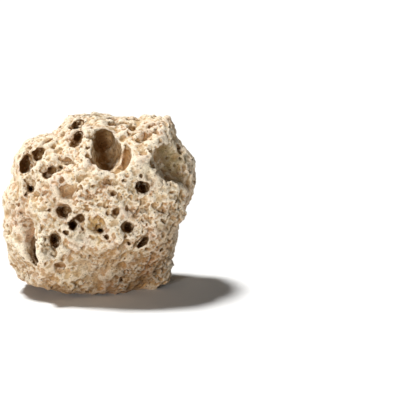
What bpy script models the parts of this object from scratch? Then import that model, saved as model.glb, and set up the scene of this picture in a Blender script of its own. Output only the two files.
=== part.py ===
"""Tufa rock: one pitted boulder of porous spring limestone, in metres, +Z up, its main face towards -Y.

The boulder is a ball pushed out to the outline of its front, broken off along a few planes and roughened.
Hollows, pits and holes are then cut from it, and it stands on one small flat.
"""

import math
import random

import bmesh
import bpy
import numpy as np
from mathutils import Matrix, Vector
from mathutils.bvhtree import BVHTree

MM = 0.001

# The view of the front: how far the camera stands, how steeply it looks down, and the size of one pixel.
VIEW_DISTANCE = 1400 * MM
VIEW_DOWN = math.radians(12)
PIXEL = 1.03 * MM
AIM_PIXEL = (200, 200)
AIM_POINT = Vector((103.5 * MM, 0, 91.5 * MM))

# The boulder's own size.
FRONT_DEPTH = 74 * MM
BACK_DEPTH = 70 * MM
SQUARENESS = 2.6
LEAN = 0.16
BODY_CENTRE_PIXEL = (100, 205)

# The outline of the front, clockwise from its upper left peak, as pixels of the view.
OUTLINE = [
    (83, 116), (98, 116), (116, 120), (140, 122), (153, 116), (169, 117), (177, 123), (177, 138),
    (186, 147), (193, 155), (195, 168), (194, 190), (190, 207), (181, 217), (176, 235), (173, 256),
    (173, 267), (170, 280), (151, 290), (120, 294), (95, 292), (67, 291), (50, 294), (42, 286),
    (31, 285), (20, 277), (16, 262), (15, 240), (8, 222), (6, 205), (11, 188), (17, 176),
    (19, 157), (29, 145), (45, 137), (60, 132), (73, 121),
]

# Flat breaks: a pixel and a depth that the plane passes through, and the way it faces.
BREAKS = [
    ((140, 243), -67 * MM, (0.44, -0.72, -0.54)),
    ((95, 255), -70 * MM, (-0.02, -0.89, -0.45)),
    ((90, 292), -26 * MM, (-0.03, -0.28, -0.96)),
    ((36, 284), -45 * MM, (-0.25, -0.25, -0.93)),
    ((24, 262), -48 * MM, (-0.62, -0.70, -0.36)),
    ((20, 200), -42 * MM, (-0.70, -0.70, 0.10)),
    ((36, 146), -32 * MM, (-0.46, -0.62, 0.62)),
    ((120, 128), -38 * MM, (0.05, -0.66, 0.74)),
    ((188, 180), -34 * MM, (0.74, -0.66, 0.10)),
    ((40, 150), 40 * MM, (-0.62, 0.58, 0.52)),
    ((120, 190), 68 * MM, (0.16, 0.95, 0.24)),
    ((140, 250), 56 * MM, (0.34, 0.72, -0.60)),
    ((174, 140), 34 * MM, (0.62, 0.50, 0.60)),
    ((50, 240), 60 * MM, (-0.44, 0.84, -0.26)),
]

# Broad hollows: pixel, half length, half height and depth in mm, the turn of the long side from level
# in degrees, and the way the hollow opens.
HOLLOWS = [
    ((174, 163), 22, 13, 19, -48, (-0.36, -0.88, -0.30)),
    ((164, 164), 20, 14, 9, -45, (-0.20, -0.94, 0.10)),
    ((31, 239), 8, 23, 12, 5, (-0.55, -0.83, 0.05)),
    ((34.5, 248), 18, 5, 30, -77, (-0.42, -0.90, 0.05)),
    ((31, 161), 19, 10, 23, 52, (-0.30, -0.90, 0.25)),
    ((52, 244), 9, 16, 8, 0, (-0.15, -0.98, 0.10)),
]

# Pits and holes of the front: pixel, half length, half height and depth in mm, and the turn of the
# long side from level, in degrees.
FRONT_PITS = [
    ((108, 152), 14.5, 19, 40, 4),
    ((103, 137), 9, 9, 22, 0),
    ((121, 158), 11, 16, 14, 0),
    ((78, 124.5), 8.5, 5.4, 20, 30),
    ((77.5, 140), 7.5, 9, 19, 0),
    ((132.5, 128), 5.2, 5.2, 19, 0),
    ((125, 121), 9, 4.8, 7, 0),
    ((146, 137), 11, 5, 8, 35),
    ((152, 127), 8, 3.8, 5, 20),
    ((64.5, 160.5), 6.8, 4.2, 9, 0),
    ((50, 171), 8, 7, 10, 0),
    ((60, 168.5), 4.8, 4.8, 8, 0),
    ((30, 180), 6.5, 10, 7, 0),
    ((30, 188.5), 4.6, 4.6, 16, 0),
    ((81, 178), 10.5, 4.2, 5, 15),
    ((69, 192), 10, 7.5, 9, 20),
    ((64, 210.5), 7.6, 6.6, 17, -10),
    ((77.5, 222), 11.5, 5.6, 18, 42),
    ((55, 240), 8, 9.5, 24, 0),
    ((143.5, 187.5), 7.4, 6.4, 24, 0),
    ((129, 227.5), 7.2, 7.2, 14, 0),
    ((98, 225), 10, 10, 8, 0),
    ((100.5, 230.4), 4, 3.6, 15, 0),
    ((153, 220), 11, 6, 6, -10),
    ((143.5, 242), 12, 4.4, 16, 40),
    ((128, 246), 7.4, 8, 7, 0),
    ((116.5, 211.5), 5.4, 4.8, 9, 40),
    ((62, 265), 6.8, 3.4, 9, 0),
    ((66, 272), 11, 6, 6, 0),
    ((123, 265), 7, 5, 7, 50),
    ((50.4, 140.8), 5, 4.5, 8, 0),
    ((64.4, 134.4), 6, 4.5, 7, 60),
    ((47, 185.5), 7, 4, 6, 0),
    ((187, 206), 5.4, 7, 11, 0),
    ((191, 183), 4.6, 7, 7, 0),
    ((112, 181.5), 13, 3.8, 5, 0),
    ((114.2, 193.5), 4.6, 4.2, 8, 0),
]

# Hollows and pits of the sides, back and top, which the view doesn't show: how many, the least and most
# half width, how narrow and how deep one is beside its half width, and how far apart two are beside theirs.
HIDDEN_KINDS = [
    (10, (15 * MM, 27 * MM), (0.4, 0.75), (0.28, 0.45), 0.75),
    (72, (3.6 * MM, 12 * MM), (0.5, 1), (0.7, 1.6), 1.05),
]
HIDDEN_SEED = 7

# The hidden pits keep off skin that faces the view or the ground, and off the foot of the boulder.
TOWARDS_VIEW = -0.3
FRONT_SECTOR = -0.4
TOWARDS_GROUND = -0.8
CLEAR_OF_GROUND = 4 * MM

# How far the middle of a pit's cutter stands outside the skin, beside the pit's lesser half size.
STAND_OUT = 0.12

# Each kind of lump: the size of one, how far it rises and sinks, and the way it moves the skin.
LUMPS = [
    (44 * MM, 16 * MM, "Y"),
    (40 * MM, 10 * MM, "NORMAL"),
    (17 * MM, 8 * MM, "NORMAL"),
    (8 * MM, 4 * MM, "NORMAL"),
]
CUTTER_LUMP = (8 * MM, 2.6 * MM, "NORMAL")
LUMP_DETAIL = 2

STONE_COLOUR = (0.66, 0.55, 0.40, 1)
STONE_ROUGHNESS = 0.95

# How finely the boulder and its cutters are worked before the triangles are thinned out.
BOULDER_FINENESS = 7
CUTTER_FINENESS = 4
BROKEN_GRAIN = 2 * MM
GRAIN = 1.5 * MM
BROKEN_ROUNDING = 4
ROUNDING = 3
MOST_TRIANGLES = 9500


def clear_scene():
    for thing in list(bpy.data.objects):
        bpy.data.objects.remove(thing)


def outline_point(pixel):
    """The point of the boulder's leaning middle plane that the view shows at a pixel, brought to y = 0."""
    across = (pixel[0] - AIM_PIXEL[0]) * PIXEL
    up = (AIM_PIXEL[1] - pixel[1]) * PIXEL
    return AIM_POINT + Vector((across, 0, up / (math.cos(VIEW_DOWN) + LEAN * math.sin(VIEW_DOWN))))


def view_ray(pixel):
    """Where the camera stands, and the way it looks through a pixel."""
    eye = AIM_POINT + VIEW_DISTANCE * Vector((0, -math.cos(VIEW_DOWN), math.sin(VIEW_DOWN)))
    across = (pixel[0] - AIM_PIXEL[0]) * PIXEL
    up = (AIM_PIXEL[1] - pixel[1]) * PIXEL
    seen = AIM_POINT + Vector((across, up * math.sin(VIEW_DOWN), up * math.cos(VIEW_DOWN)))
    return eye, (seen - eye).normalized()


def select_only(thing):
    bpy.ops.object.select_all(action="DESELECT")
    thing.select_set(True)
    bpy.context.view_layer.objects.active = thing


def apply_modifiers(thing):
    select_only(thing)
    for modifier in list(thing.modifiers):
        bpy.ops.object.modifier_apply(modifier=modifier.name)


def points_of(thing):
    found = np.empty(len(thing.data.vertices) * 3)
    thing.data.vertices.foreach_get("co", found)
    return found.reshape(-1, 3)


def roughen(thing, size, strength, way, name):
    """Lumps of one size, raised and sunk along the surface's own direction or along Y."""
    texture = bpy.data.textures.new(name, "CLOUDS")
    texture.noise_scale = size
    texture.noise_depth = LUMP_DETAIL
    displace = thing.modifiers.new(name, "DISPLACE")
    displace.texture = texture
    displace.texture_coords = "GLOBAL"
    displace.direction = way
    displace.strength = strength
    displace.mid_level = 0.5


def regrain(thing, size):
    remesh = thing.modifiers.new("regrain", "REMESH")
    remesh.mode = "VOXEL"
    remesh.voxel_size = size
    remesh.use_smooth_shade = True


def soften(thing, steps):
    smooth = thing.modifiers.new("soften", "SMOOTH")
    smooth.factor = 0.5
    smooth.iterations = steps


def outline_radius(angles):
    """The boulder's reach from its centre at each angle of the front."""
    centre = outline_point(BODY_CENTRE_PIXEL)
    spokes = [outline_point(pixel) - centre for pixel in OUTLINE]
    turned = sorted((math.atan2(spoke.z, spoke.x), spoke.length) for spoke in spokes)
    at = [angle for angle, _ in turned]
    reach = [length for _, length in turned]
    return np.interp(angles, at, reach, period=2 * math.pi)


def make_boulder():
    """A ball pushed out to the front's outline and rounded off in depth, then broken flat and roughened."""
    bpy.ops.mesh.primitive_ico_sphere_add(subdivisions=BOULDER_FINENESS, radius=1)
    boulder = bpy.context.object
    boulder.name = "tufa_rock"
    way = points_of(boulder)
    flat = np.hypot(way[:, 0], way[:, 2])
    reach = (flat**SQUARENESS + np.abs(way[:, 1]) ** SQUARENESS) ** (-1 / SQUARENESS)
    radius = outline_radius(np.arctan2(way[:, 2], way[:, 0]))
    centre = outline_point(BODY_CENTRE_PIXEL)
    depth = np.where(way[:, 1] < 0, FRONT_DEPTH, BACK_DEPTH)
    shaped = np.empty_like(way)
    shaped[:, 0] = centre.x + way[:, 0] * reach * radius
    shaped[:, 1] = way[:, 1] * reach * depth
    shaped[:, 2] = centre.z + way[:, 2] * reach * radius
    shaped[:, 1] += LEAN * (shaped[:, 2] - centre.z)
    boulder.data.vertices.foreach_set("co", shaped.ravel())
    for pixel, depth_at, facing in BREAKS:
        break_off(boulder, plane_point(pixel, depth_at), Vector(facing).normalized())
    regrain(boulder, BROKEN_GRAIN)
    soften(boulder, BROKEN_ROUNDING)
    for number, (size, strength, way) in enumerate(LUMPS):
        roughen(boulder, size, strength, way, f"lumps_{number}")
    regrain(boulder, GRAIN)
    apply_modifiers(boulder)
    return boulder


def plane_point(pixel, depth_at):
    eye, way = view_ray(pixel)
    return eye + way * ((depth_at - eye.y) / way.y)


def break_off(thing, point, facing):
    """Cuts a solid along a plane, drops what lies beyond it and closes the cut."""
    shape = bmesh.new()
    shape.from_mesh(thing.data)
    geometry = shape.verts[:] + shape.edges[:] + shape.faces[:]
    cut = bmesh.ops.bisect_plane(shape, geom=geometry, plane_co=point, plane_no=facing, clear_outer=True)
    edges = [part for part in cut["geom_cut"] if isinstance(part, bmesh.types.BMEdge)]
    bmesh.ops.holes_fill(shape, edges=edges, sides=0)
    shape.to_mesh(thing.data)
    shape.free()
    thing.data.update()


def skin_of(thing):
    shape = bmesh.new()
    shape.from_mesh(thing.data)
    tree = BVHTree.FromBMesh(shape)
    shape.free()
    return tree


def pit_cutter(place, outward, level, half_length, half_height, depth, turn):
    """An egg whose long way runs into the rock, with its middle a little outside the skin."""
    across = level - level.dot(outward) * outward
    across.normalize()
    upward = outward.cross(across)
    across, upward = (
        math.cos(turn) * across + math.sin(turn) * upward,
        math.cos(turn) * upward - math.sin(turn) * across,
    )
    axes = Matrix((across, upward, outward)).transposed().to_4x4()
    size = Matrix.Diagonal((half_length, half_height, depth, 1))
    where = Matrix.Translation(place + outward * STAND_OUT * min(half_height, depth))
    bpy.ops.mesh.primitive_ico_sphere_add(subdivisions=CUTTER_FINENESS, radius=1)
    cutter = bpy.context.object
    cutter.data.transform(where @ axes @ size)
    return cutter


def front_cutters(skin):
    """A pit opens halfway between square to the skin and straight at the view, unless its way is given."""
    made = []
    for pixel, half_length, half_height, depth, turn, *opens in FRONT_PITS + HOLLOWS:
        eye, way = view_ray(pixel)
        place, normal, _, _ = skin.ray_cast(eye, way)
        outward = Vector(opens[0]).normalized() if opens else (normal - way).normalized()
        sizes = (half_length * MM, half_height * MM, depth * MM)
        made.append(pit_cutter(place, outward, Vector((1, 0, 0)), *sizes, math.radians(turn)))
    return made


def hidden_cutters(skin, draw, count, half_width, narrowness, depth, spacing):
    """Hollows or pits of one kind, mostly small and kept apart, over all that faces away from the view."""
    centre = Vector((0, 0, AIM_POINT.z))
    least, most = half_width
    taken = []
    made = []
    while len(made) < count:
        way = Vector((draw.gauss(0, 1), draw.gauss(0, 1), draw.gauss(0, 1))).normalized()
        half = least + (most - least) * draw.random() ** 2
        narrow = draw.uniform(*narrowness)
        deep = draw.uniform(*depth)
        turn = draw.uniform(0, math.pi)
        place, normal, _, _ = skin.ray_cast(centre, way)
        faces_view = normal.y < TOWARDS_VIEW or way.y < FRONT_SECTOR
        under = place.z < half + CLEAR_OF_GROUND or normal.z < TOWARDS_GROUND
        crowded = any((place - other).length < spacing * (half + reach) for other, reach in taken)
        if faces_view or under or crowded:
            continue
        taken.append((place, half))
        made.append(pit_cutter(place, normal, normal.orthogonal(), half, half * narrow, half * deep, turn))
    return made


def join(things, name):
    select_only(things[0])
    for thing in things:
        thing.select_set(True)
    bpy.ops.object.join()
    joined = bpy.context.object
    joined.name = name
    return joined


def cut_pits(boulder):
    skin = skin_of(boulder)
    draw = random.Random(HIDDEN_SEED)
    made = front_cutters(skin)
    for kind in HIDDEN_KINDS:
        made += hidden_cutters(skin, draw, *kind)
    cutters = join(made, "pit_cutters")
    roughen(cutters, *CUTTER_LUMP, "cutter_lumps")
    regrain(cutters, GRAIN)
    apply_modifiers(cutters)
    cutters.hide_render = True
    cutters.display_type = "WIRE"
    carve = boulder.modifiers.new("pits", "BOOLEAN")
    carve.operation = "DIFFERENCE"
    carve.object = cutters
    regrain(boulder, GRAIN)
    soften(boulder, ROUNDING)
    apply_modifiers(boulder)
    bpy.data.objects.remove(cutters)


def thin_out(thing, most):
    """Fewer, larger triangles where the surface is plain."""
    decimate = thing.modifiers.new("thin_out", "DECIMATE")
    triangles = sum(len(face.vertices) - 2 for face in thing.data.polygons)
    decimate.ratio = most / triangles
    decimate.use_collapse_triangulate = True
    apply_modifiers(thing)


def keep_main_body(thing):
    """Drops crumbs and flakes that a pit or the flat has cut free."""
    select_only(thing)
    bpy.ops.mesh.separate(type="LOOSE")
    parts = sorted(bpy.context.selected_objects, key=lambda part: len(part.data.vertices))
    main = parts.pop()
    for part in parts:
        bpy.data.objects.remove(part)
    main.name = "tufa_rock"
    return main


def stand_at_origin(thing):
    """The origin is under the middle of the boulder, level with its flat."""
    points = points_of(thing)
    low, high = points.min(0), points.max(0)
    thing.data.transform(Matrix.Translation((-(low[0] + high[0]) / 2, -(low[1] + high[1]) / 2, -low[2])))


def paint(thing):
    stone = bpy.data.materials.new("tufa")
    stone.use_nodes = True
    shader = stone.node_tree.nodes["Principled BSDF"]
    shader.inputs["Base Color"].default_value = STONE_COLOUR
    shader.inputs["Roughness"].default_value = STONE_ROUGHNESS
    shader.inputs["Metallic"].default_value = 0
    thing.data.materials.clear()
    thing.data.materials.append(stone)


def main():
    clear_scene()
    boulder = make_boulder()
    cut_pits(boulder)
    thin_out(boulder, MOST_TRIANGLES)
    break_off(boulder, Vector((0, 0, 0)), Vector((0, 0, -1)))
    boulder = keep_main_body(boulder)
    stand_at_origin(boulder)
    paint(boulder)
    boulder.data.shade_smooth()


main()
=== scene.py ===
import math
import random

import bpy
import numpy as np
from mathutils import Matrix, Vector, noise
from mathutils.bvhtree import BVHTree


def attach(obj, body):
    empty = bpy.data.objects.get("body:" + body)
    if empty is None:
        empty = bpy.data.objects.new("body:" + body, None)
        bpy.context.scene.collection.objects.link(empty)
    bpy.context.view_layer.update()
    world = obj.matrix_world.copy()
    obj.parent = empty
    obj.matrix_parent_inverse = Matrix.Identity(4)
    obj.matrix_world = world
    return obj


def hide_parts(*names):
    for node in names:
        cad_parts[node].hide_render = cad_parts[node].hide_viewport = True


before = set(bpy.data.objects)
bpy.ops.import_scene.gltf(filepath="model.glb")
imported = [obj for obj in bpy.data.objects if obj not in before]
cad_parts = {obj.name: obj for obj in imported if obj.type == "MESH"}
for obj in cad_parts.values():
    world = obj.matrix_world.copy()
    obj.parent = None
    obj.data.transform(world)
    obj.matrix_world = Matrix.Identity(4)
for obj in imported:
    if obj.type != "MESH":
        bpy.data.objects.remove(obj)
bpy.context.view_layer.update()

mm = 0.001


def selectOnly(thing):
    bpy.ops.object.select_all(action="DESELECT")
    thing.select_set(True)
    bpy.context.view_layer.objects.active = thing


def applyModifier(thing, kind, **settings):
    selectOnly(thing)
    modifier = thing.modifiers.new(kind.title(), kind)
    for name, value in settings.items():
        setattr(modifier, name, value)
    bpy.ops.object.modifier_apply(modifier=modifier.name)


def displace(thing, name, size, height, kind="CLOUDS", ramp=None, group="", **settings):
    # Moves a skin along its normals by a procedural pattern. It moves in and out, or with a ramp only in:
    # fully where the pattern is darker than the ramp's first value, and not where it is lighter than its second.
    pattern = bpy.data.textures.new(name, kind)
    pattern.noise_scale = size
    for key, value in settings.items():
        setattr(pattern, key, value)
    if ramp:
        pattern.use_color_ramp = True
        dark, light = pattern.color_ramp.elements
        dark.position, light.position = ramp
        dark.color = (0, 0, 0, 1)
        light.color = (1, 1, 1, 1)
    applyModifier(thing, "DISPLACE", texture=pattern, texture_coords="GLOBAL", strength=height,
                  mid_level=1 if ramp else 0.5, vertex_group=group)


def pointsOf(mesh):
    flat = np.empty(len(mesh.vertices) * 3)
    mesh.vertices.foreach_get("co", flat)
    return flat.reshape(-1, 3)


def linear(hexColour):
    # an sRGB hex value as the linear colour that a node takes
    values = [int(hexColour[i:i + 2], 16) / 255 for i in (1, 3, 5)]
    return tuple(v / 12.92 if v <= 0.04045 else ((v + 0.055) / 1.055) ** 2.4 for v in values) + (1,)


# The camera, at the photograph's viewing angle.
view = {
    "aim": Vector((103.5 * mm, 0, 91.5 * mm)),
    "distance": 1.4,
    "down": math.radians(12),
    "width": 412 * mm,          # what the frame takes in, at that distance
    "pixels": 400,              # the frame's width and height
    "sensor": 36,               # in mm, as Blender takes it
}
pixelSize = view["width"] / view["pixels"]
viewRight = Vector((1, 0, 0))
viewUp = Vector((0, math.sin(view["down"]), math.cos(view["down"])))
viewAhead = Vector((0, math.cos(view["down"]), -math.sin(view["down"])))
viewEye = view["aim"] - viewAhead * view["distance"]


def pixelRay(pixel):
    # the way the camera looks through a pixel
    half = view["pixels"] / 2
    seen = view["aim"] + viewRight * (pixel[0] - half) * pixelSize + viewUp * (half - pixel[1]) * pixelSize
    return (seen - viewEye).normalized()


bpy.ops.object.select_all(action="DESELECT")
bpy.ops.object.camera_add(location=viewEye, rotation=(math.pi / 2 - view["down"], 0, 0))
camera = bpy.context.object
camera.data.sensor_width = view["sensor"]
camera.data.lens = view["sensor"] * view["distance"] / view["width"]
bpy.context.scene.camera = camera
print("camera set")

# The rock's shape. A relief is a pattern's size, how far it moves the skin, and the pattern's own settings.
rockShape = {
    "seed": 11,
    "weld": 0.01 * mm,
    "firstVoxel": 1.1 * mm,
    "rounding": {"factor": 0.5, "iterations": 5},
    "firstRelief": [
        {"name": "lumps", "size": 13 * mm, "height": 3 * mm, "noise_depth": 1},
        {"name": "dimples", "size": 9 * mm, "height": 2.6 * mm, "kind": "VORONOI"},
    ],
    "standOut": 0.15,           # how far a pit's middle stands outside the skin, beside its lesser half size
    "rimRays": 8,
    "rimReach": 1.3,            # where the skin's level is taken, beside a pit's half sizes
    "strewnWidth": (0.6, 1),    # of a strewn pit, beside its length
    "strewnDepth": (0.8, 1.9),  # of a strewn pit, beside its half length
    "strewnLeastHeight": 4 * mm,
    "turnedAway": 0.25,         # the least y of a normal on sides that don't count as the front
    "cutterVoxel": 0.7 * mm,
    "pitWalls": {"name": "pit walls", "size": 5.5 * mm, "height": 2.8 * mm, "noise_depth": 2},
    "wornWalls": {"name": "worn walls", "size": 9 * mm, "height": 1.6 * mm, "noise_depth": 2},
    "voxel": 0.75 * mm,
    "pockets": {"size": 9 * mm, "height": 3 * mm, "ramp": (0.3, 0.42), "noise_depth": 1},
    "crags": {"size": 9 * mm, "height": -3.6 * mm, "noise_depth": 1, "noise_type": "HARD_NOISE"},
    "pocks": {"size": 4.5 * mm, "height": 2 * mm, "ramp": (0.3, 0.4), "noise_depth": 1},
    "smallCrags": {"size": 4 * mm, "height": -2 * mm, "noise_depth": 1, "noise_type": "HARD_NOISE"},
    "crumbs": {"size": 3 * mm, "height": 0.9 * mm, "noise_depth": 2},
    "pores": {"size": 2.2 * mm, "height": 1.2 * mm, "ramp": (0.3, 0.38), "noise_depth": 0},
    "mostTriangles": 194000,
    "sharpEdge": math.radians(34),
}

# Pits of the front: pixel, half width, half height and depth in mm, and the turn of the long side in degrees.
frontPits = [
    # the great pocket with its round top, and the slot and the step at its right
    ((107.5, 153), 15, 18.5, 42, -4),
    ((104, 143), 12, 15, 30, 6),
    ((126, 159), 5.6, 13.5, 14, -8),
    ((118, 169), 9, 4.6, 16, 24),
    # the open pit at the upper left, in two halves
    ((26, 164), 6.8, 11, 24, -18),
    ((39, 154), 6.2, 8.8, 24, -42),
    # shallower pits around it and in the middle
    ((57.5, 150), 6, 5, 4, 0),
    ((31, 184), 6, 7, 8, 0),
    ((48, 174), 6.5, 5.4, 13, 20),
    ((114, 193.5), 3.8, 3.4, 12, 0),
    ((116, 211.5), 4, 4.6, 13, 20),
    ((135, 209), 6, 4.5, 4, 10),
    # the dark holes, cut again with crisp rims
    ((64.5, 211), 8.2, 7, 22, -10),
    ((80, 218.6), 5.8, 5.4, 20, 40),
    ((73.2, 225), 5.6, 5.4, 22, 40),
    ((55.2, 239.5), 6.6, 7.6, 28, 0),
    ((143.5, 187.5), 6.8, 6.2, 28, 0),
    ((129, 227.5), 5.8, 5.6, 20, 0),
    ((31.4, 189.4), 4, 4, 22, 0),
    ((78.5, 124.5), 7.6, 4.4, 22, 32),
    ((132.7, 128), 5, 4.8, 22, 0),
    ((143.5, 242), 8.6, 3.4, 22, 42),
    ((100.5, 230.6), 3.6, 3.2, 20, 0),
    ((67, 161), 6.4, 4, 13, 0),
    ((52, 169.5), 5.6, 5, 14, 0),
    ((60.5, 168), 4, 4, 12, 0),
    ((79, 137), 5.4, 6.8, 21, -10),
    ((75, 144), 5, 4.4, 18, 0),
    # small holes
    ((26, 194), 3, 3, 6, 0),
    ((9.5, 200.5), 2.5, 2, 5, 0),
    ((49, 209.6), 3, 2, 6, 20),
    ((65.5, 232), 3.5, 3, 9, 0),
    ((106.5, 237), 3, 3, 9, 0),
    ((152, 217.4), 3.5, 2, 10, -10),
    ((126.8, 208.6), 2.2, 3.4, 8, 20),
    ((125, 236.7), 2.5, 2.5, 7, 0),
    ((129.6, 243.7), 2, 2, 8, 0),
    ((147.2, 248.6), 2.2, 2.2, 8, 0),
    ((107.5, 213), 2.5, 2, 5, 0),
    ((127.9, 271), 1.8, 2, 6, 0),
    ((127.9, 276.3), 2.3, 1.6, 6, 0),
    ((80, 237.7), 3.5, 4, 3, 0),
    ((47.7, 249.6), 1.6, 1.6, 6, 0),
    ((53.3, 249.3), 1.6, 1.6, 6, 0),
    ((76.5, 251), 4.5, 1.2, 5, 10),
    ((62.5, 259.5), 2.5, 1.5, 6, 0),
    ((61, 265.4), 5.5, 2, 8, -5),
    ((45.6, 263.3), 2, 2, 5, 0),
    ((29.8, 275), 2, 4, 5, -20),
    ((37.2, 273.5), 3.5, 2, 3, 0),
    ((76.2, 156.3), 1.3, 1.3, 5, 0),
    ((66.3, 140), 4, 1.5, 4, 0),
    ((28, 147.8), 3.5, 3, 5, 0),
    ((87.4, 155.5), 2.5, 4, 5, 0),
    ((87, 147), 3.5, 2, 4, 0),
    ((62, 179.7), 3.5, 4, 4, 0),
    ((44, 194), 4.5, 3, 3, 20),
    ((88, 195), 4, 3, 4, 0),
    ((160, 124), 2.5, 1.5, 4, 0),
    ((146.8, 122.5), 1.5, 1.5, 5, 0),
    ((158, 129), 2, 2, 5, 0),
    ((171.4, 133.7), 2, 2.5, 4, 0),
    ((178.8, 147.7), 3, 4, 4, 0),
    ((157.7, 165), 1.5, 1.5, 4, 0),
    ((141, 175.8), 2, 3, 7, 0),
    ((147.5, 175.4), 1.3, 1.3, 4, 0),
    ((151.8, 185), 1.5, 2, 4, 0),
    ((109.3, 181.4), 4, 2.5, 4, 0),
    ((124.4, 180.7), 3.5, 2.5, 4, 0),
    ((102.6, 186.3), 4, 3, 3, 0),
    ((172.8, 192), 4, 1.5, 4, 0),
    ((181, 193), 3, 3, 4, 0),
    ((92.5, 161), 2.5, 6, 6, 45),
    ((97.7, 118.2), 5, 1, 3, -50),
]

# Broad hollows with worn walls, given as the pits are, and with the way that each opens.
wornHollows = [
    # the dish, steep at its top right and open to the lower left
    ((173, 162), 23, 14.5, 20, -46, (-0.36, -0.9, -0.26)),
    # the tall recess at the lower left, deepest against the rib at its right
    ((31, 239), 7.5, 22, 15, 8, (-0.62, -0.78, 0.05)),
    ((35.5, 251), 5.5, 15, 34, 14, (-0.42, -0.9, 0.05)),
]

# Small pits strewn over all sides: how many, least and most half length, and whether the front has them too.
strewnPits = [
    (130, 2.2 * mm, 4.5 * mm, False),
    (620, 1 * mm, 2.2 * mm, True),
]

solid = bpy.data.objects["tufa_rock"]
cadTree = BVHTree.FromObject(solid, bpy.context.evaluated_depsgraph_get())


def seenAt(pixel):
    # the point of the solid that the camera sees at a pixel, or None where it sees past the rock
    return cadTree.ray_cast(viewEye, pixelRay(pixel))[0]


def makeSkin():
    # the solid again as one smooth closed skin, with its first relief
    skin = solid.copy()
    skin.data = solid.data.copy()
    skin.name = "tufa_rock_surface"
    skin.parent = None
    bpy.context.collection.objects.link(skin)
    selectOnly(skin)
    bpy.ops.object.mode_set(mode="EDIT")
    bpy.ops.mesh.select_all(action="SELECT")
    bpy.ops.mesh.remove_doubles(threshold=rockShape["weld"])
    bpy.ops.object.mode_set(mode="OBJECT")
    applyModifier(skin, "REMESH", mode="VOXEL", voxel_size=rockShape["firstVoxel"])
    applyModifier(skin, "SMOOTH", **rockShape["rounding"])
    for relief in rockShape["firstRelief"]:
        displace(skin, **relief)
    return skin


def placeCutter(shape, middle, across, upwards, outwards, halfSizes):
    cutter = shape.copy()
    cutter.data = shape.data.copy()
    turn = Matrix((across, upwards, outwards)).transposed().to_4x4()
    cutter.data.transform(Matrix.Translation(middle) @ turn @ Matrix.Diagonal((*halfSizes, 1)))
    bpy.context.collection.objects.link(cutter)
    return cutter


def rimPoint(pixel, halfWidth, halfHeight):
    # the point seen at a pixel, at the level of the skin around the pit there
    reaches = []
    for step in range(rockShape["rimRays"]):
        turn = math.tau * step / rockShape["rimRays"]
        right = rockShape["rimReach"] * halfWidth * mm * math.cos(turn)
        up = rockShape["rimReach"] * halfHeight * mm * math.sin(turn)
        hit = seenAt((pixel[0] + right / pixelSize, pixel[1] - up / pixelSize))
        if hit is not None:
            reaches.append((hit - viewEye).length)
    return viewEye + pixelRay(pixel) * float(np.median(reaches))


def frontCutters(shape, pits):
    # each stands where the camera sees it through its pixel, and opens towards the camera or as its row says
    cutters = []
    for pixel, halfWidth, halfHeight, depth, turn, *opens in pits:
        rim = rimPoint(pixel, halfWidth, halfHeight)
        outwards = Vector(opens[0]).normalized() if opens else -pixelRay(pixel)
        angle = math.radians(turn)
        across = (viewRight * math.cos(angle) + viewUp * math.sin(angle)).normalized()
        upwards = outwards.cross(across).normalized()
        across = upwards.cross(outwards)
        middle = rim + outwards * min(halfWidth, halfHeight) * rockShape["standOut"] * mm
        cutters.append(placeCutter(shape, middle, across, upwards, outwards,
                                   (halfWidth * mm, halfHeight * mm, depth * mm)))
    return cutters


def strewnCutters(shape, skin, draw):
    # scattered evenly over the skin's area, off the flat that the rock stands on
    mesh = skin.data
    mesh.calc_loop_triangles()
    areas = np.array([triangle.area for triangle in mesh.loop_triangles])
    steps = np.cumsum(areas) / areas.sum()
    cutters = []
    for count, least, most, onFront in strewnPits:
        made = 0
        while made < count:
            triangle = mesh.loop_triangles[int(np.searchsorted(steps, draw.random()))]
            spot = sum((mesh.vertices[i].co for i in triangle.vertices), Vector()) / 3
            outwards = triangle.normal.copy()
            length = draw.uniform(least, most)
            spin = draw.uniform(0, math.tau)
            width = length * draw.uniform(*rockShape["strewnWidth"])
            depth = length * draw.uniform(*rockShape["strewnDepth"])
            allowed = onFront or outwards.y >= rockShape["turnedAway"]
            if spot.z < rockShape["strewnLeastHeight"] or not allowed:
                continue
            across = outwards.orthogonal().normalized()
            across.rotate(Matrix.Rotation(spin, 3, outwards))
            upwards = outwards.cross(across)
            cutters.append(placeCutter(shape, spot, across, upwards, outwards, (length, width, depth)))
            made += 1
    return cutters


def cutAway(skin, cutters, walls):
    # takes all cutters out of the skin at once, with a relief on their walls
    bpy.ops.object.select_all(action="DESELECT")
    for cutter in cutters:
        cutter.select_set(True)
    bpy.context.view_layer.objects.active = cutters[0]
    bpy.ops.object.join()
    cutter = bpy.context.object
    displace(cutter, **walls)
    applyModifier(cutter, "REMESH", mode="VOXEL", voxel_size=rockShape["cutterVoxel"])
    applyModifier(skin, "BOOLEAN", operation="DIFFERENCE", object=cutter, solver="MANIFOLD")
    bpy.data.objects.remove(cutter)


def cutPits(skin):
    draw = random.Random(rockShape["seed"])
    bpy.ops.object.select_all(action="DESELECT")
    bpy.ops.mesh.primitive_ico_sphere_add(subdivisions=4, radius=1)
    shape = bpy.context.object
    rough = frontCutters(shape, frontPits) + strewnCutters(shape, skin, draw)
    worn = frontCutters(shape, wornHollows)
    bpy.data.objects.remove(shape)
    cutAway(skin, rough, rockShape["pitWalls"])
    cutAway(skin, worn, rockShape["wornWalls"])
    applyModifier(skin, "REMESH", mode="VOXEL", voxel_size=rockShape["voxel"])


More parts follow.
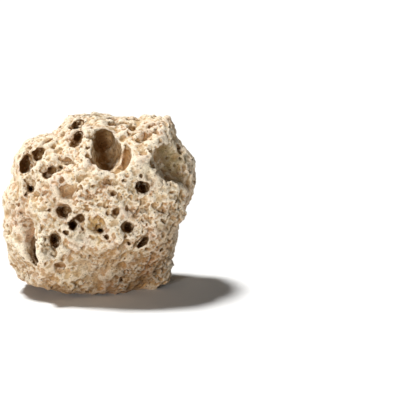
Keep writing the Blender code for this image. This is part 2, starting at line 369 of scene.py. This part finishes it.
# Places where the front is worn smooth: pixel, radius in mm, and how smooth, up to 1.
smoothPlaces = [
    ((165, 162), 22, 1),
    ((178, 182), 12, 0.8),
    ((105, 150), 16, 0.7),
    ((80, 240), 10, 0.9),
    ((24, 245), 18, 0.7),
    ((100, 275), 26, 0.6),
    ((150, 265), 20, 0.4),
    ((60, 275), 20, 0.6),
]
roughness = {
    "patch": 24 * mm,
    "noise": (-0.45, 0.3),      # the noise's values that would give no relief and that give all of it
    "least": 0.3,               # the relief's least share, away from the worn places
    "deepPit": 12,              # in mm: from this depth a pit's walls are worn too
    "inPit": 0.65,              # what is left of the relief on those walls
}


def paintRoughness(skin):
    # a vertex group that says where the skin is pocked: in patches, and less on the worn places
    points = pointsOf(skin.data)
    low, high = roughness["noise"]
    weights = np.array([noise.noise(Vector(point) / roughness["patch"]) for point in points])
    weights = np.clip((weights - low) / (high - low), roughness["least"], 1)
    for pixel, radius, smoothness in smoothPlaces:
        distance = np.linalg.norm(points - np.array(seenAt(pixel)), axis=1) / (radius * mm)
        weights *= 1 - smoothness * np.clip(2 - 2 * distance, 0, 1)     # fades over the outer half
    for pixel, halfWidth, halfHeight, depth, *_ in frontPits:
        if depth >= roughness["deepPit"]:
            ray = np.array(pixelRay(pixel))
            offsets = points - np.array(viewEye)
            away = np.linalg.norm(offsets - np.outer(offsets @ ray, ray), axis=1)
            inside = (away < max(halfWidth, halfHeight) * mm) & (points[:, 1] < 0)
            weights[inside] *= roughness["inPit"]
    group = skin.vertex_groups.new(name="rough")
    for index, weight in enumerate(weights):
        group.add([index], weight, "REPLACE")


def crumble(skin):
    # the porous, crumbly relief, from lumps down to grains
    paintRoughness(skin)
    displace(skin, "pockets", group="rough", **rockShape["pockets"])
    # hard noise turned inside out gives round dips with sharp ridges between them
    displace(skin, "crags", group="rough", **rockShape["crags"])
    displace(skin, "pocks", group="rough", **rockShape["pocks"])
    displace(skin, "small crags", group="rough", **rockShape["smallCrags"])
    # the crumbs lie everywhere
    displace(skin, "crumbs", **rockShape["crumbs"])
    displace(skin, "pores", group="rough", **rockShape["pores"])
    applyModifier(skin, "REMESH", mode="VOXEL", voxel_size=rockShape["voxel"])


def standFlat(skin):
    # nothing hangs below the flat that the rock stands on
    points = pointsOf(skin.data)
    points[:, 2] = np.maximum(points[:, 2], 0)
    skin.data.vertices.foreach_set("co", points.ravel())
    skin.data.update()


def thinOut(skin):
    triangles = sum(len(face.vertices) - 2 for face in skin.data.polygons)
    print("triangles before thinning", triangles)
    applyModifier(skin, "DECIMATE", ratio=min(1, rockShape["mostTriangles"] / triangles))
    # thinning can leave a face twice in one place
    skin.data.validate()


surface = makeSkin()
print("skin made", len(surface.data.polygons))
cutPits(surface)
print("pits cut", len(surface.data.polygons))
crumble(surface)
standFlat(surface)
thinOut(surface)
print("rock crumbled", len(surface.data.polygons))


# The stone's colours follow what is measured on its surface.
measures = {
    "seed": 3,
    "rays": 20,
    "reach": 32 * mm,           # stone further off than this doesn't make a hollow
    "lift": 0.15 * mm,          # how far off the skin the rays start
    # how many rounds of averaging spread each measure
    "hollowRounds": 2,
    "ridgeRounds": 8,
    "swellRounds": 60,
    "underRounds": 90,
}


def writeAttribute(mesh, name, values):
    attribute = mesh.attributes.new(name, "FLOAT", "POINT")
    attribute.data.foreach_set("value", np.ascontiguousarray(values, dtype=np.float32))


def spread(mesh, values, rounds):
    # averages each point with its neighbours, again and again
    edges = np.empty(len(mesh.edges) * 2, dtype=np.int64)
    mesh.edges.foreach_get("vertices", edges)
    one, two = edges.reshape(-1, 2).T
    count = len(mesh.vertices)
    neighbours = np.bincount(one, minlength=count) + np.bincount(two, minlength=count)
    values = np.array(values, dtype=float)
    columns = values.reshape(count, -1)
    for _ in range(rounds):
        total = np.empty_like(columns)
        for i in range(columns.shape[1]):
            total[:, i] = np.bincount(one, columns[two, i], count) + np.bincount(two, columns[one, i], count)
        columns = 0.5 * columns + 0.5 * total / np.maximum(neighbours, 1)[:, None]
    return columns.reshape(values.shape)


def measureHollows(skin):
    # how much of what each point looks at is stone: 0 on a ridge, 1 deep in a pit
    mesh = skin.data
    tree = BVHTree.FromObject(skin, bpy.context.evaluated_depsgraph_get())
    draw = random.Random(measures["seed"])
    ways = []
    for i in range(measures["rays"]):
        height = math.sqrt((i + 0.5) / measures["rays"])
        turn = draw.uniform(0, math.tau)
        ways.append(Vector((math.cos(turn) * math.sqrt(1 - height * height),
                            math.sin(turn) * math.sqrt(1 - height * height), height)))
    hollows = np.empty(len(mesh.vertices))
    for vertex in mesh.vertices:
        toNormal = vertex.normal.to_track_quat("Z", "X")
        start = vertex.co + vertex.normal * measures["lift"]
        hit = 0
        for way in ways:
            if tree.ray_cast(start, toNormal @ way, measures["reach"])[0] is not None:
                hit += 1
        hollows[vertex.index] = hit / len(ways)
    return spread(mesh, hollows, measures["hollowRounds"])


def normalsOf(mesh):
    return np.array([vertex.normal[:] for vertex in mesh.vertices])


def measureRidges(skin, rounds):
    # how far each point stands out of the average of its neighbourhood, in mm
    points = pointsOf(skin.data)
    return ((points - spread(skin.data, points, rounds)) * normalsOf(skin.data)).sum(axis=1) / mm


def measureUndersides(skin):
    # how much the broad form faces down, from -1 to 1
    return -spread(skin.data, normalsOf(skin.data), measures["underRounds"])[:, 2]


writeAttribute(surface.data, "hollow", measureHollows(surface))
writeAttribute(surface.data, "under", measureUndersides(surface))
writeAttribute(surface.data, "ridge", measureRidges(surface, measures["ridgeRounds"]))
writeAttribute(surface.data, "swell", measureRidges(surface, measures["swellRounds"]))
print("hollows and ridges measured")

# stain colours; the umber, the pale and some of the olive stand for painted shade and painted light
stainShadeAndLightKinds = {
    "rust": "#A9683A",
    "ochre": "#C49A4E",
    "pink": "#CFA184",
    "oliveStainAndShade": "#786A42",
    "grey": "#C9C2B0",
    "paleLight": "#F2E6CC",
    "tan": "#B08F66",
    "umberShade": "#8F6C45",
}

# Stains that the eye picks out on the front, with patches of painted shade and painted light among them: kind,
# pixel, radius in mm, and strength.
frontStainsShadeAndLight = [
    # painted shade in the dish, under its top and right rims
    ("oliveStainAndShade", (166, 152), 16, 1),
    ("oliveStainAndShade", (176, 163), 19, 1),
    ("oliveStainAndShade", (183, 178), 14, 1),
    # painted light on the dish's lower slope, which faces up
    ("paleLight", (150, 168), 14, 1),
    ("paleLight", (160, 180), 14, 1),
    # painted shadow down the right side
    ("umberShade", (168, 232), 20, 1),
    ("umberShade", (172, 212), 15, 0.9),
    ("tan", (188, 185), 16, 0.8),
    # in the great pocket: olive, and umber painted shade at its lower right
    ("oliveStainAndShade", (104, 142), 18, 0.8),
    ("umberShade", (112, 160), 16, 0.6),
    ("ochre", (95, 226), 13, 0.8),
    ("ochre", (99, 240), 9, 0.6),
    ("ochre", (70, 280), 16, 0.5),
    ("pink", (22, 215), 20, 0.6),
    ("pink", (30, 235), 14, 0.6),
    ("tan", (24, 262), 14, 0.6),
    # painted shade in the groove beside the rib
    ("umberShade", (34, 256), 11, 0.9),
    ("umberShade", (33, 243), 8, 0.6),
    ("tan", (66, 190), 9, 0.7),
    ("tan", (82, 178), 9, 0.5),
    ("tan", (30, 180), 8, 0.5),
    # tan on the lower front, partly painted shade
    ("tan", (50, 276), 24, 0.6),
    ("tan", (88, 270), 30, 0.8),
    # umber painted shade on the lower front and the lower right side, which turn down and away from the light
    ("umberShade", (100, 282), 20, 0.5),
    ("umberShade", (124, 276), 24, 0.9),
    ("umberShade", (152, 266), 30, 1),
    ("umberShade", (166, 246), 24, 1),
    ("umberShade", (176, 222), 14, 0.9),
    ("umberShade", (188, 205), 12, 0.9),
    ("rust", (150, 262), 9, 0.7),
    ("rust", (146, 272), 9, 0.8),
    ("rust", (128, 268), 8, 0.6),
    ("rust", (152, 238), 6, 0.8),
    ("rust", (112, 285), 14, 0.5),
    ("rust", (145, 133), 9, 0.6),
    ("rust", (106, 186), 8, 0.7),
    ("rust", (90, 195), 7, 0.5),
    ("rust", (117, 212), 5, 0.7),
    ("rust", (50, 141), 5, 0.6),
    ("rust", (50, 210), 5, 0.5),
    ("rust", (188, 200), 7, 0.5),
    ("pink", (135, 215), 16, 0.4),
    ("pink", (60, 200), 22, 0.3),
    ("grey", (80, 240), 12, 0.8),
    ("grey", (48, 256), 8, 0.8),
    ("grey", (165, 225), 16, 0.5),
    ("grey", (90, 265), 18, 0.5),
]

# The back half has stains of most of these kinds, strewn over it.
strewnStains = {
    "seed": 5,
    "count": 46,
    "radius": (6 * mm, 20 * mm),
    "strength": (0.25, 0.7),
    "kinds": ["rust", "ochre", "pink", "tan", "grey", "oliveStainAndShade"],
}
stainShadeAndLightFade = 0.7                 # under 1, so a stain stays strong until near its edge


def stainShadeAndLightSpots(skin):
    spots = []
    for kind, pixel, radius, strength in frontStainsShadeAndLight:
        spot = seenAt(pixel)
        if spot is not None:
            spots.append((kind, spot, radius * mm, strength))
    draw = random.Random(strewnStains["seed"])
    vertices = skin.data.vertices
    while len(spots) < len(frontStainsShadeAndLight) + strewnStains["count"]:
        vertex = vertices[draw.randrange(len(vertices))]
        kind = draw.choice(strewnStains["kinds"])
        radius = draw.uniform(*strewnStains["radius"])
        strength = draw.uniform(*strewnStains["strength"])
        if vertex.normal.y > 0 or vertex.co.y > 0:
            spots.append((kind, vertex.co.copy(), radius, strength))
    return spots


def paintStainsShadeAndLight(skin):
    # where stains and painted patches overlap, their colours are averaged by their strength there
    points = pointsOf(skin.data)
    colour = np.zeros((len(points), 4))
    weight = np.full(len(points), 1e-6)     # never nothing, because the colours are divided by it
    amount = np.zeros(len(points))
    for kind, spot, radius, strength in stainShadeAndLightSpots(skin):
        distance = np.linalg.norm(points - np.array(spot), axis=1) / radius
        cover = strength * np.clip(1 - distance, 0, 1) ** stainShadeAndLightFade
        colour += cover[:, None] * np.array(linear(stainShadeAndLightKinds[kind]))
        weight += cover
        amount = np.maximum(amount, cover)
    colour /= weight[:, None]
    colour[:, 3] = 1
    attribute = skin.data.attributes.new("stainShadeAndLightColour", "FLOAT_COLOR", "POINT")
    attribute.data.foreach_set("color", np.ascontiguousarray(colour, dtype=np.float32).ravel())
    writeAttribute(skin.data, "stainShadeAndLight", amount)


paintStainsShadeAndLight(surface)
print("stains painted")


def addNode(tree, kind, inputs, **settings):
    # One node with its settings and its inputs. An input is a value, another node's output, or another node,
    # which then gives its first output.
    node = tree.nodes.new(kind)
    for name, value in settings.items():
        setattr(node, name, value)
    for name, value in inputs.items():
        if isinstance(value, bpy.types.Node):
            value = value.outputs[0]
        if isinstance(value, bpy.types.NodeSocket):
            tree.links.new(value, node.inputs[name])
        else:
            node.inputs[name].default_value = value
    return node


stone = {
    "cream": "#E6D0AE",
    "tan": "#C3A376",
    "pink": "#D2A78C",
    "rust": "#B4764A",
    # painted shade where the broad form faces down
    "under": "#8A6236",
    "hollow": "#A4753B",
    # painted highlight: near white laid on the ridges
    "ridge": "#FCF2DE",
    # painted shade: near-black brown laid deep in the hollows
    "deep": "#563510",
    # painted shade in the pores
    "poreShade": "#4C3018",
    # noise: size, detail and roughness
    "noise": {
        "patches": (28 * mm, 2, 0.5),
        "pinks": (16.8 * mm, 4, 0.5),
        "flecks": (4 * mm, 2, 0.6),
        "mottle": (6 * mm, 4, 0.6),
        "crumbs": (1.8 * mm, 3, 0.7),
    },
    # ranges of a noise or of a measure: the values where each starts and ends, and what they become
    "ranges": {
        "patches": ("patches", 0.4, 0.62, 0, 1),
        "pinks": ("pinks", 0.5, 0.66, 0, 1),
        "flecks": ("flecks", 0.56, 0.68, 0, 1),
        "undersides": ("under", 0.05, 0.6, 0, 1),
        "lows": ("swell", 0, -2.2, 0, 1),
        "dips": ("ridge", 0, -0.7, 0, 1),
        "hollows": ("hollow", 0.55, 1, 0, 1),
        # where the painted shade deep in the hollows goes
        "depths": ("hollow", 0.72, 0.95, 0, 1),
        "ridges": ("ridge", 0.02, 0.3, 0, 1),
        "mottle": ("mottle", 0.35, 0.7, 0.5, 1.2),
        "grain": ("crumbs", 0.3, 0.7, 0.66, 1.2),
    },
    # tints in the order that they lie over the cream: where, how strong, and which colour
    "tints": [
        ("patches", 0.5, "tan"),
        ("pinks", 0.5, "pink"),
        ("flecks", 0.6, "rust"),
        # painted shade on the faces that turn down
        ("undersides", 0.8, "under"),
        ("lows", 0.4, "tan"),
        ("dips", 0.6, "hollow"),
        ("hollows", 0.8, "hollow"),
    ],
    # the painted highlight on the ridges
    "ridgeHighlightWhereOpen": 0.56,        # how pale the ridges are
    "ridgeHighlightWhereCovered": 0.1,         # and how pale where the stone is stained, faces down or lies in a hollow
    "deepShadeShare": 0.6,
    "poreShadeShare": 0.9,
    # small holes, painted dark as their shade: spacing, half size beside it, and the size of the patches that
    # have them
    "holes": [
        (4.4 * mm, 0.17, 9 * mm),
        (2.6 * mm, 0.21, 5 * mm),
    ],
    "holeEdge": (0.25, 0.17),   # what is added to the half size where a hole ends, and where it is full
    "ragSize": 0.4,             # of the noise that makes the holes' outlines ragged, beside their spacing
    "rag": 0.5,
    "holePatches": (0.44, 0.58),
    "roughness": 0.94,
    "specular": 0.2,
    "poreRelief": -1.2,         # beside the crumbs' relief, which is 1
    "bump": 0.8,
    "bumpHeight": 0.8 * mm,
}


def tufaLimestone():
    # Porous tufa limestone, as it grew: chalky and dull, cream with tan, pink and rust patches, brown in its
    # hollows.
    # Painted shade darkens the deepest hollows, the pores, the faces that turn down and some patches of the
    # front; painted highlight makes the ridges pale.
    material = bpy.data.materials.new("porous tufa limestone")
    material.use_nodes = True
    tree = material.node_tree
    tree.nodes.clear()
    place = addNode(tree, "ShaderNodeTexCoord", {}).outputs["Object"]

    values = {}
    for name, (size, detail, rough) in stone["noise"].items():
        values[name] = addNode(tree, "ShaderNodeTexNoise",
                               {"Vector": place, "Scale": 1 / size, "Detail": detail, "Roughness": rough})
    for name in ("under", "swell", "ridge", "hollow", "stainShadeAndLight"):
        values[name] = addNode(tree, "ShaderNodeAttribute", {}, attribute_name=name).outputs["Fac"]
    stainShadeAndLightColour = addNode(tree, "ShaderNodeAttribute", {}, attribute_name="stainShadeAndLightColour").outputs["Color"]
    ranges = {}
    for name, (source, start, end, first, last) in stone["ranges"].items():
        ranges[name] = addNode(tree, "ShaderNodeMapRange",
                               {"Value": values[source], "From Min": start, "From Max": end,
                                "To Min": first, "To Max": last})

    holes = []
    for spacing, halfSize, patch in stone["holes"]:
        cells = addNode(tree, "ShaderNodeTexVoronoi", {"Vector": place, "Scale": 1 / spacing})
        rag = addNode(tree, "ShaderNodeTexNoise",
                      {"Vector": place, "Scale": 1 / (spacing * stone["ragSize"]), "Detail": 2})
        ragged = addNode(tree, "ShaderNodeMath", {0: rag, 1: stone["rag"], 2: cells},
                         operation="MULTIPLY_ADD")
        rim, full = (halfSize + edge for edge in stone["holeEdge"])
        hole = addNode(tree, "ShaderNodeMapRange", {"Value": ragged, "From Min": rim, "From Max": full})
        patches = addNode(tree, "ShaderNodeTexNoise", {"Vector": place, "Scale": 1 / patch, "Detail": 2})
        low, high = stone["holePatches"]
        inPatch = addNode(tree, "ShaderNodeMapRange", {"Value": patches, "From Min": low, "From Max": high})
        holes.append(addNode(tree, "ShaderNodeMath", {0: hole, 1: inPatch}, operation="MULTIPLY"))
    pores = addNode(tree, "ShaderNodeMath", {0: holes[0], 1: holes[1]}, operation="MAXIMUM")

    def lay(colour, where, share, tint):
        # one tint over the colour so far
        amount = addNode(tree, "ShaderNodeMath", {0: where, 1: share}, operation="MULTIPLY")
        return addNode(tree, "ShaderNodeMix", {0: amount, 6: colour, 7: tint}, data_type="RGBA").outputs[2]

    colour = linear(stone["cream"])
    for name, share, tint in stone["tints"]:
        colour = lay(colour, ranges[name], share, linear(stone[tint]))
    # stains, with painted shade and painted light on the front
    colour = lay(colour, values["stainShadeAndLight"], ranges["mottle"], stainShadeAndLightColour)
    # painted highlight: ridges are palest where nothing else tints or shades the stone
    stainShadeHollowCover = values["stainShadeAndLight"]
    for name in ("undersides", "hollows"):
        stainShadeHollowCover = addNode(tree, "ShaderNodeMath", {0: stainShadeHollowCover, 1: ranges[name]}, operation="MAXIMUM")
    ridgeHighlight = addNode(tree, "ShaderNodeMapRange",
                       {"Value": stainShadeHollowCover, "To Min": stone["ridgeHighlightWhereOpen"], "To Max": stone["ridgeHighlightWhereCovered"]})
    colour = lay(colour, ranges["ridges"], ridgeHighlight, linear(stone["ridge"]))
    # painted shade, darkest deep in the hollows
    colour = lay(colour, ranges["depths"], stone["deepShadeShare"], linear(stone["deep"]))
    colour = addNode(tree, "ShaderNodeMix", {0: 1, 6: colour, 7: ranges["grain"]},
                     data_type="RGBA", blend_type="MULTIPLY").outputs[2]
    # painted shade: the pores are made near black, while the bump only dents them
    colour = lay(colour, pores, stone["poreShadeShare"], linear(stone["poreShade"]))

    relief = addNode(tree, "ShaderNodeMath", {0: pores, 1: stone["poreRelief"], 2: values["crumbs"]},
                     operation="MULTIPLY_ADD")
    bump = addNode(tree, "ShaderNodeBump",
                   {"Strength": stone["bump"], "Distance": stone["bumpHeight"], "Height": relief})
    shader = addNode(tree, "ShaderNodeBsdfPrincipled",
                     {"Base Color": colour, "Roughness": stone["roughness"],
                      "Specular IOR Level": stone["specular"], "Normal": bump})
    addNode(tree, "ShaderNodeOutputMaterial", {"Surface": shader})
    return material


surface.data.materials.clear()
surface.data.materials.append(tufaLimestone())
selectOnly(surface)
bpy.ops.object.shade_smooth_by_angle(angle=rockShape["sharpEdge"])
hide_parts("tufa_rock")
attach(surface, "root")
print("stone finished")

studio = {
    "floor": "#EDEDEC",
    "floorSize": 24,
    "floorRoughness": 0.9,
    "world": "#FFFFFF",
    "worldStrength": 0.02,
    "behindStrength": 1,        # of the room as the camera sees it past the floor
    # name, the way it comes from, strength, and how wide it is in degrees
    "suns": [
        ("overhead softbox", (-0.34, 0.16, 0.93), 4.1, 11),
        ("front fill", (-0.36, -0.92, 0.13), 1.95, 18),
    ],
}


def makeFloor():
    bpy.ops.object.select_all(action="DESELECT")
    bpy.ops.mesh.primitive_plane_add(size=studio["floorSize"], location=(0, 0, 0))
    floor = bpy.context.object
    floor.name = "floor"
    # uncoated paper, which takes a soft shadow and has no gloss
    material = bpy.data.materials.new("matt white paper")
    material.use_nodes = True
    shader = material.node_tree.nodes["Principled BSDF"]
    shader.inputs["Base Color"].default_value = linear(studio["floor"])
    shader.inputs["Roughness"].default_value = studio["floorRoughness"]
    floor.data.materials.append(material)


def makeLights():
    world = bpy.data.worlds.new("white room")
    bpy.context.scene.world = world
    world.use_nodes = True
    tree = world.node_tree
    tree.nodes.clear()
    white = linear(studio["world"])
    rays = addNode(tree, "ShaderNodeLightPath", {}).outputs["Is Camera Ray"]
    lit = addNode(tree, "ShaderNodeBackground", {"Color": white, "Strength": studio["worldStrength"]})
    seen = addNode(tree, "ShaderNodeBackground", {"Color": white, "Strength": studio["behindStrength"]})
    both = addNode(tree, "ShaderNodeMixShader", {0: rays, 1: lit, 2: seen})
    addNode(tree, "ShaderNodeOutputWorld", {"Surface": both})
    for name, comesFrom, strength, width in studio["suns"]:
        bpy.ops.object.light_add(type="SUN", location=comesFrom)
        sun = bpy.context.object
        sun.name = name
        sun.data.energy = strength
        sun.data.angle = math.radians(width)
        sun.rotation_euler = (-Vector(comesFrom)).to_track_quat("-Z", "Y").to_euler()


makeFloor()
makeLights()
bpy.context.scene.view_settings.view_transform = "Standard"
print("floor and light set")
